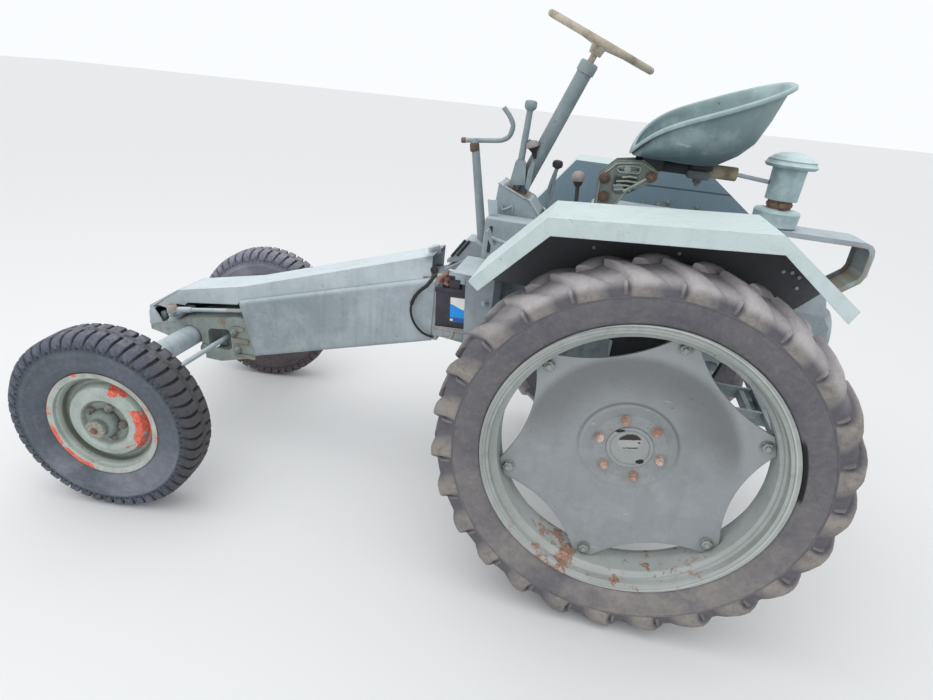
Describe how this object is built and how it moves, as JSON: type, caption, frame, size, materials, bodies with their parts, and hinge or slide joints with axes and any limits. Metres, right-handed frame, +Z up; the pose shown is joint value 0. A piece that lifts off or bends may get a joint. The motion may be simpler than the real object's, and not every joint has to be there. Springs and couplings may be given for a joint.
{
  "type": "vintage tool-carrier tractor",
  "caption": "Old tool-carrying farm tractor: a sloping hollow beam to a steered front axle, driver over the rear axle, engine behind, weathered grey-green paint.",
  "frame": {"origin": "on the ground, under the plan centre of the whole tractor", "axes": "+X to the rear, +Y to the tractor's right, +Z up"},
  "size_m": [3.0964, 1.53, 1.9679],
  "materials": {
    "body_paint": "faded, scratched, rusting",
    "cast_paint": "dirty, rusting",
    "exhaust_steel": "rusty",
    "battery_case": "satin",
    "cable_cover": "matt",
    "wheel_rim_cover": "worn, cracked",
    "tyre": "weathered"
  },
  "bodies": {
    "chassis": {"front_beam": "body_paint", "beam_cover": "body_paint", "axle_bracket": "cast_paint", "front_axle": "cast_paint", "gearbox": "cast_paint", "final_drives": "cast_paint", "fuel_tank": "body_paint", "engine_block": "cast_paint", "engine_duct": "body_paint", "exhaust": "exhaust_steel", "air_cleaner": "body_paint", "rear_hood": "body_paint", "drawbar": "cast_paint", "mudguard_left": "body_paint", "mudguard_right": "body_paint", "platform": "body_paint", "pedestal": "body_paint", "steering_column": "body_paint", "controls": "cast_paint", "lift_crank": "cast_paint", "seat_pan": "body_paint", "seat_bracket": "cast_paint", "battery": "battery_case", "battery_tray": "cast_paint", "battery_cable": "cable_cover"},
    "steering_wheel": {"steering_wheel": "wheel_rim_cover"},
    "knuckle_left": {"knuckle_left": "cast_paint"},
    "knuckle_right": {"knuckle_right": "cast_paint"},
    "tie_rod": {"tie_rod": "cast_paint"},
    "steer_lever": {"steer_lever": "cast_paint"},
    "drag_link": {"drag_link": "cast_paint"},
    "rear_wheel_left": {"rear_hub_left": "cast_paint", "rear_disc_left": "body_paint", "rear_rim_left": "body_paint", "rear_tyre_left": "tyre"},
    "front_wheel_left": {"front_hub_left": "cast_paint", "front_rim_left": "body_paint", "front_tyre_left": "tyre"},
    "rear_wheel_right": {"rear_hub_right": "cast_paint", "rear_disc_right": "body_paint", "rear_rim_right": "body_paint", "rear_tyre_right": "tyre"},
    "front_wheel_right": {"front_hub_right": "cast_paint", "front_rim_right": "body_paint", "front_tyre_right": "tyre"}
  },
  "joints": [
    {"name": "steer_left", "type": "hinge", "parent": "chassis", "child": "knuckle_left", "pos_m": [-1.14293, -0.47, 0.51902], "axis": [0.0152, 0, 0.9999], "range_deg": [-42, 28]},
    {"name": "steer_right", "type": "hinge", "parent": "chassis", "child": "knuckle_right", "pos_m": [-1.14293, 0.47, 0.51902], "axis": [0.0152, 0, 0.9999], "range_deg": [-42, 28]},
    {"name": "tie_rod_pivot", "type": "hinge", "parent": "knuckle_left", "child": "tie_rod", "pos_m": [-0.97903, -0.44989, 0.52653], "axis": [0.0152, 0, 0.9999], "range_deg": [-43, 43]},
    {"name": "lever_turn", "type": "hinge", "parent": "chassis", "child": "steer_lever", "pos_m": [-1.21392, 0, 0.5201], "axis": [0.0152, 0, 0.9999], "range_deg": [-30.6, 20.7]},
    {"name": "drag_link_pivot", "type": "hinge", "parent": "steer_lever", "child": "drag_link", "pos_m": [-1.19982, -0.14148, 0.6509], "axis": [0.0152, 0, 0.9999], "range_deg": [-20.7, 30.6]},
    {"name": "steering_wheel_turn", "type": "hinge", "parent": "chassis", "child": "steering_wheel", "pos_m": [0.51023, -0.024, 1.88109], "axis": [0.3795, -0.0559, 0.9235], "range_deg": [-505, 337]},
    {"name": "rear_wheel_spin_left", "type": "hinge", "parent": "chassis", "child": "rear_wheel_left", "pos_m": [0.83642, -0.625, 0.659], "axis": [0, 1, 0], "continuous": true},
    {"name": "rear_wheel_spin_right", "type": "hinge", "parent": "chassis", "child": "rear_wheel_right", "pos_m": [0.83642, 0.625, 0.659], "axis": [0, 1, 0], "continuous": true},
    {"name": "front_wheel_spin_left", "type": "hinge", "parent": "knuckle_left", "child": "front_wheel_left", "pos_m": [-1.12373, -0.6437, 0.37871], "axis": [-0.1219, 0.9925, 0.0018], "continuous": true},
    {"name": "front_wheel_spin_right", "type": "hinge", "parent": "knuckle_right", "child": "front_wheel_right", "pos_m": [-1.16638, 0.6437, 0.37936], "axis": [-0.1219, 0.9925, 0.0018], "continuous": true}
  ],
  "couplings": [
    {"joint": "steer_right", "follows": "steer_left", "ratio": 1},
    {"joint": "tie_rod_pivot", "follows": "steer_left", "ratio": -1},
    {"joint": "lever_turn", "follows": "steer_left", "ratio": 0.704},
    {"joint": "drag_link_pivot", "follows": "steer_left", "ratio": -0.704},
    {"joint": "steering_wheel_turn", "follows": "steer_left", "ratio": 12}
  ]
}
